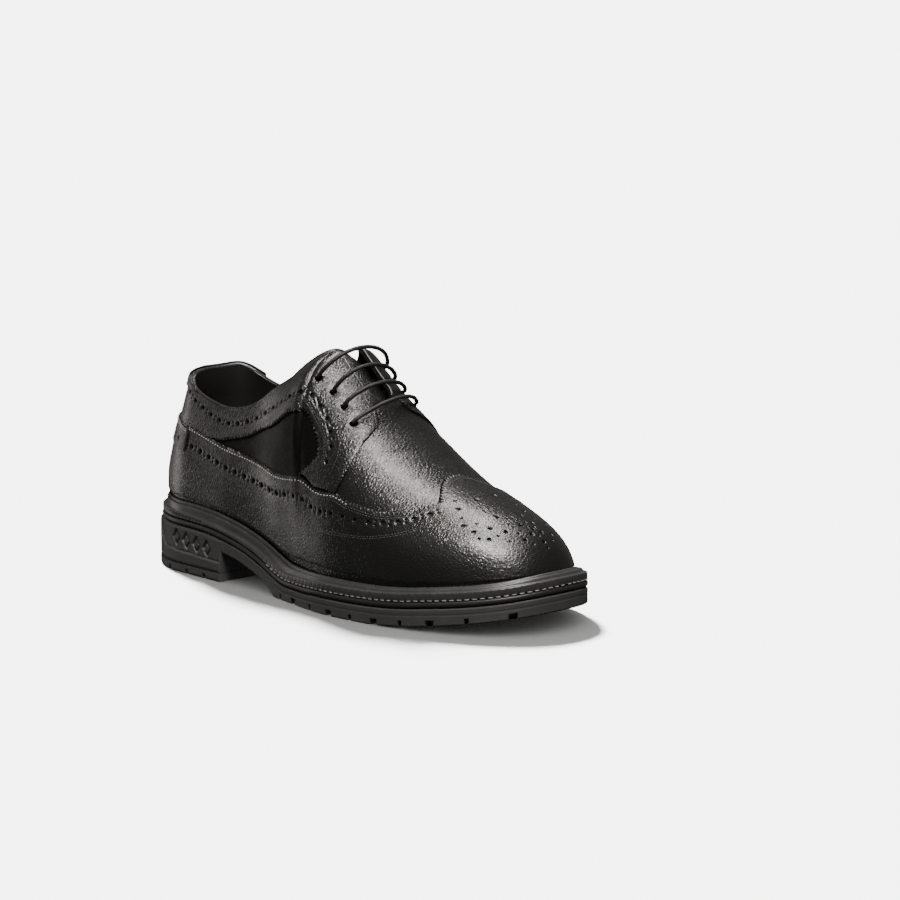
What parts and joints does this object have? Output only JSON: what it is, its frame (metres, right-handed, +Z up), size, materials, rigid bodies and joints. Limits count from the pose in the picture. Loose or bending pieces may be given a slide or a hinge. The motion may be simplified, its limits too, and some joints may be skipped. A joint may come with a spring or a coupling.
{
  "type": "brogue shoe",
  "caption": "Black leather longwing brogue for the right foot, laced over a tongue, with a storm welt and a heeled rubber sole, open at the collar.",
  "frame": {"origin": "on the floor, under the centre of the shoe's own box", "axes": "+X towards the toe, +Y towards the inner (medial) side, +Z up"},
  "size_m": [0.3074, 0.1124, 0.1414],
  "materials": {
    "outsole_rubber": "matte",
    "heel_rubber": "matte",
    "midsole_rubber": "satin",
    "welt_rubber": "satin",
    "insole_leather": "matte",
    "vamp_leather": "satin grain",
    "wing_leather": "satin grain",
    "facing_leather": "satin grain",
    "back_leather": "satin grain",
    "tongue_leather": "satin grain",
    "lace_cord": "waxed cotton"
  },
  "bodies": {
    "root": {"outsole": "outsole_rubber", "heel_lift": "heel_rubber", "midsole": "midsole_rubber", "welt": "welt_rubber", "insole": "insole_leather", "upper": "vamp_leather", "wing": "wing_leather", "quarter_lateral": "facing_leather", "quarter_medial": "facing_leather", "back_tab": "back_leather", "back_patch": "back_leather", "tongue": "tongue_leather", "lace": "lace_cord"}
  },
  "joints": []
}
